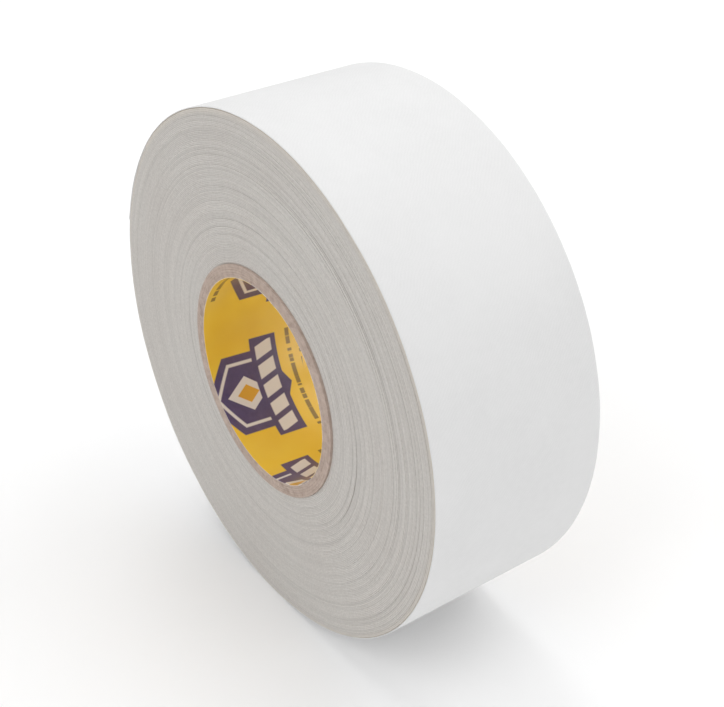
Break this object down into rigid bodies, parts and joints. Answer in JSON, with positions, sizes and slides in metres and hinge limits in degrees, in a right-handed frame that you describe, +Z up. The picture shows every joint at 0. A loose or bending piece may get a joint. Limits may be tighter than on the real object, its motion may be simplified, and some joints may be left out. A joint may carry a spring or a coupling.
{
  "type": "grip tape roll",
  "caption": "Roll of white woven cotton grip tape wound in a spiral on a printed paperboard core, standing on its rim, with a free end that lifts.",
  "frame": {"origin": "on the ground, under the middle of the roll as it stands on its rim", "axes": "+Z up, +Y along the roll's axis away from the side that the label is read from, +X to the right of that side"},
  "size_m": [0.1078, 0.039, 0.108],
  "materials": {
    "cloth": "matte woven cotton",
    "adhesive": "matte tacky rubber",
    "core_board": "matte grey-brown board",
    "printed_liner": "glossy printed paper"
  },
  "bodies": {
    "roll": {"core_liner": "printed_liner", "core_ply_1": "core_board", "core_ply_2": "core_board", "core_ply_3": "core_board", "core_ply_4": "core_board", "core_ply_5": "core_board", "wound_laps": "cloth", "outer_lap_adhesive": "adhesive", "outer_lap_cloth": "cloth"},
    "tail_root": {"tail_cloth_root": "cloth", "tail_adhesive_root": "adhesive"},
    "tail_middle": {"tail_cloth_middle": "cloth", "tail_adhesive_middle": "adhesive"},
    "tail_tip": {"tail_cloth_tip": "cloth", "tail_adhesive_tip": "adhesive"}
  },
  "joints": [
    {"name": "peel", "type": "hinge", "parent": "roll", "child": "tail_root", "pos_m": [-0.04151, 0, 0.08871], "axis": [0, 1, 0], "range_deg": [0, 90]},
    {"name": "straighten_middle", "type": "hinge", "parent": "tail_root", "child": "tail_middle", "pos_m": [-0.04621, 0, 0.08219], "axis": [0, 1, 0], "range_deg": [0, 8.5]},
    {"name": "straighten_tip", "type": "hinge", "parent": "tail_middle", "child": "tail_tip", "pos_m": [-0.04988, 0, 0.07505], "axis": [0, 1, 0], "range_deg": [0, 8.5]}
  ],
  "couplings": [
    {"joint": "straighten_middle", "follows": "peel", "ratio": 0.0944},
    {"joint": "straighten_tip", "follows": "peel", "ratio": 0.0944}
  ]
}
